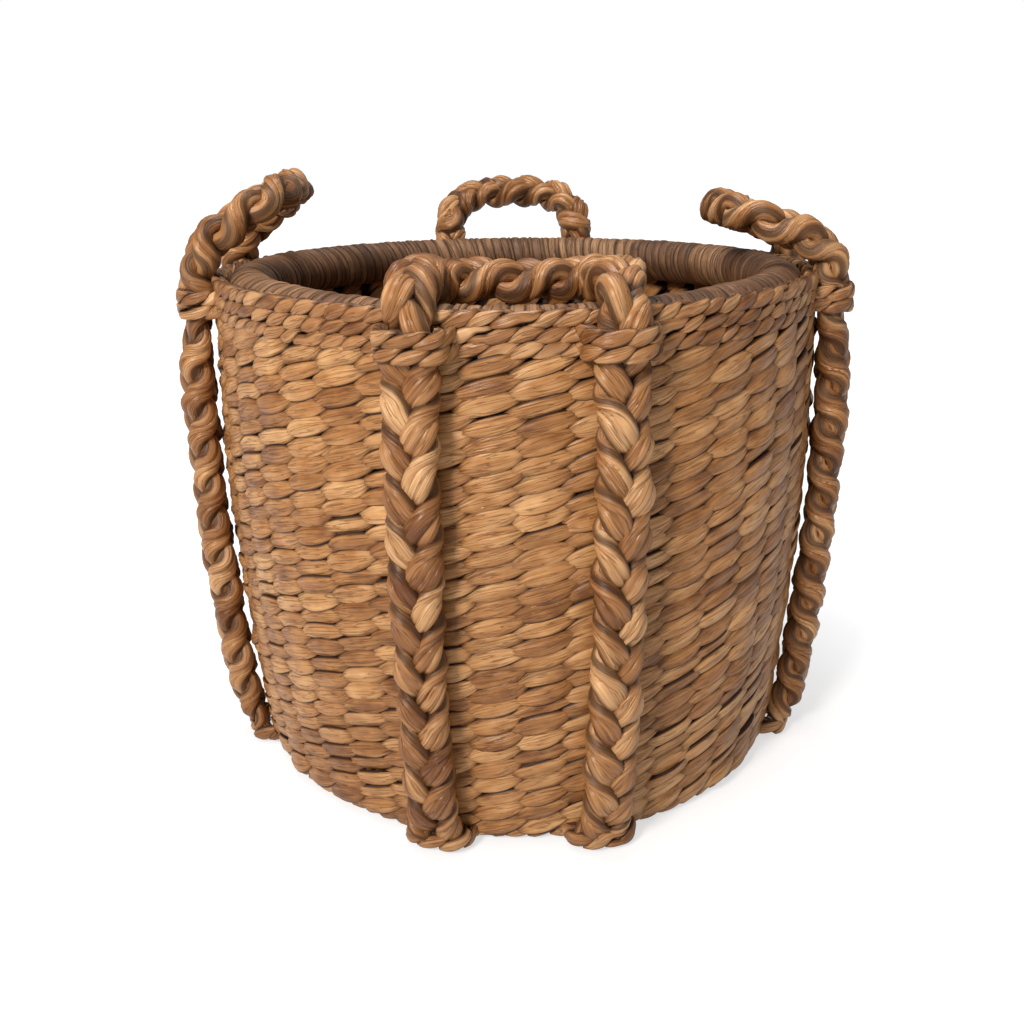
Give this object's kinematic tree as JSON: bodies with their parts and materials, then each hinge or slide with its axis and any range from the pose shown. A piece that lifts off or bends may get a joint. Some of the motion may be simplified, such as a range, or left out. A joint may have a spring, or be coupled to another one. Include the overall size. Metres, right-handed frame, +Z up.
{
  "type": "woven laundry basket",
  "caption": "Round woven laundry basket with a twined wall on stakes, a wrapped rim roll, rope edging and plaited handles that fold in or out.",
  "frame": {"origin": "centre of the basket's underside, on the floor", "axes": "+Z up out of the basket's mouth; -Y towards the front handle, +X towards the right handle"},
  "size_m": [0.567, 0.5976, 0.5092],
  "materials": {
    "weave": "satin",
    "rope": "satin",
    "plait": "satin",
    "rim_wrap": "satin",
    "rim_core": "matte",
    "stake": "matte"
  },
  "bodies": {
    "basket": {"base_center": "weave", "base_spokes": "stake", "inner_base_weave": "weave", "middle_base_weave": "weave", "outer_base_weave": "weave", "foot_rope": "rope", "wall_stakes": "stake", "weft_row_01": "weave", "weft_row_02": "weave", "weft_row_03": "weave", "weft_row_04": "weave", "weft_row_05": "weave", "weft_row_06": "weave", "weft_row_07": "weave", "weft_row_08": "weave", "weft_row_09": "weave", "weft_row_10": "weave", "weft_row_11": "weave", "weft_row_12": "weave", "weft_row_13": "weave", "weft_row_14": "weave", "weft_row_15": "weave", "weft_row_16": "weave", "weft_row_17": "weave", "weft_row_18": "weave", "weft_row_19": "weave", "weft_row_20": "weave", "weft_row_21": "weave", "weft_row_22": "weave", "weft_row_23": "weave", "weft_row_24": "weave", "weft_row_25": "weave", "weft_row_26": "weave", "weft_row_27": "weave", "weft_row_28": "weave", "rim_core": "rim_core", "rim_wrap": "rim_wrap", "rim_rope_upper": "rope", "rim_rope_middle": "rope", "rim_rope_lower": "rope", "front_braid_left": "plait", "front_braid_right": "plait", "right_braid_front": "plait", "right_braid_back": "plait", "back_braid_right": "plait", "back_braid_left": "plait", "left_braid_back": "plait", "left_braid_front": "plait"},
    "front_handle": {"front_handle": "plait"},
    "right_handle": {"right_handle": "plait"},
    "back_handle": {"back_handle": "plait"},
    "left_handle": {"left_handle": "plait"}
  },
  "joints": [
    {"name": "front_handle_fold", "type": "hinge", "parent": "basket", "child": "front_handle", "pos_m": [0, -0.26176, 0.4505], "axis": [1, 0, 0], "range_deg": [0, 174]},
    {"name": "right_handle_fold", "type": "hinge", "parent": "basket", "child": "right_handle", "pos_m": [0.26176, 0, 0.4505], "axis": [0, 1, 0], "range_deg": [-19, 155]},
    {"name": "back_handle_fold", "type": "hinge", "parent": "basket", "child": "back_handle", "pos_m": [0, 0.26176, 0.4505], "axis": [-1, 0, 0], "range_deg": [-138, 35]},
    {"name": "left_handle_fold", "type": "hinge", "parent": "basket", "child": "left_handle", "pos_m": [-0.26176, 0, 0.4505], "axis": [0, -1, 0], "range_deg": [-35, 139]}
  ]
}
